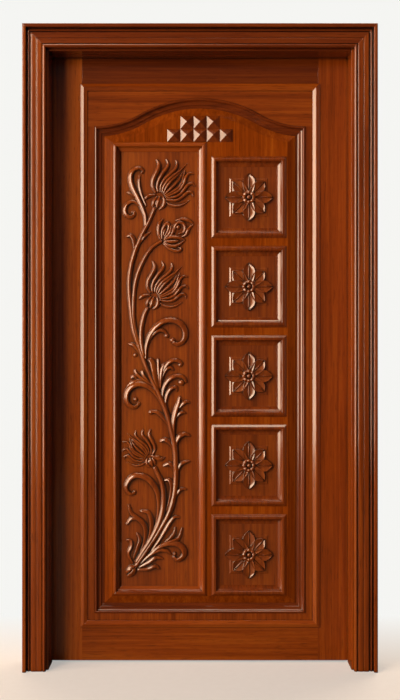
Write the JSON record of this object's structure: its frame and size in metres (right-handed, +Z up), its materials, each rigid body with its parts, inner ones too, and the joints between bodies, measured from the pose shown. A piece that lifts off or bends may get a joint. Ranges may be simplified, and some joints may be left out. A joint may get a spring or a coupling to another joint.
{
  "type": "carved door",
  "caption": "Carved wooden entrance door in its moulded frame: a hinged leaf with an arched surround, a raised field, a tall flower panel, rosette panels and pyramid studs.",
  "frame": {"origin": "on the floor, half way across the doorway and half way between its front and back", "axes": "+Z up, +X to the right as seen from the carved side, the carved side faces -Y"},
  "size_m": [1.202, 0.1675, 2.193],
  "materials": {
    "frame_wood": "stained hardwood, satin-gloss lacquer",
    "moulding_wood": "stained hardwood, satin-gloss lacquer",
    "carved_wood": "carved hardwood, satin-gloss lacquer",
    "hinge_brass": "satin"
  },
  "bodies": {
    "frame": {"jamb_left": "frame_wood", "jamb_right": "frame_wood", "head_jamb": "frame_wood", "casing_left": "moulding_wood", "casing_right": "moulding_wood", "casing_head": "moulding_wood", "hinge_frame_plate_1": "hinge_brass", "hinge_frame_plate_2": "hinge_brass", "hinge_frame_plate_3": "hinge_brass", "hinge_pin_1": "hinge_brass", "hinge_pin_2": "hinge_brass", "hinge_pin_3": "hinge_brass", "hinge_frame_screws": "hinge_brass"},
    "leaf": {"hinge_stile": "frame_wood", "lock_stile": "frame_wood", "top_rail": "frame_wood", "bottom_rail": "frame_wood", "ridge_left": "moulding_wood", "ridge_right": "moulding_wood", "ridge_bottom": "moulding_wood", "ridge_top": "moulding_wood", "arched_surround": "frame_wood", "arch_moulding_left": "moulding_wood", "arch_moulding_right": "moulding_wood", "arch_moulding_bottom": "moulding_wood", "arch_moulding_haunch_left": "moulding_wood", "arch_moulding_haunch_right": "moulding_wood", "arch_moulding_crown": "moulding_wood", "raised_field": "frame_wood", "carved_panel": "carved_wood", "tall_frame_left": "moulding_wood", "tall_frame_right": "moulding_wood", "tall_frame_bottom": "moulding_wood", "tall_frame_top": "moulding_wood", "square_frame_1": "moulding_wood", "square_frame_2": "moulding_wood", "square_frame_3": "moulding_wood", "square_frame_4": "moulding_wood", "square_frame_5": "moulding_wood", "rosette_panel_1": "carved_wood", "rosette_panel_2": "carved_wood", "rosette_panel_3": "carved_wood", "rosette_panel_4": "carved_wood", "rosette_panel_5": "carved_wood", "stud_1": "moulding_wood", "stud_2": "moulding_wood", "stud_3": "moulding_wood", "stud_4": "moulding_wood", "stud_5": "moulding_wood", "stud_6": "moulding_wood", "stud_7": "moulding_wood", "stud_8": "moulding_wood", "hinge_door_plate_1": "hinge_brass", "hinge_door_plate_2": "hinge_brass", "hinge_door_plate_3": "hinge_brass", "hinge_door_screws": "hinge_brass"}
  },
  "joints": [
    {"name": "leaf_swing", "type": "hinge", "parent": "frame", "child": "leaf", "pos_m": [-0.5265, 0.07675, 1.086], "axis": [0, 0, 1], "range_deg": [0, 110]}
  ]
}
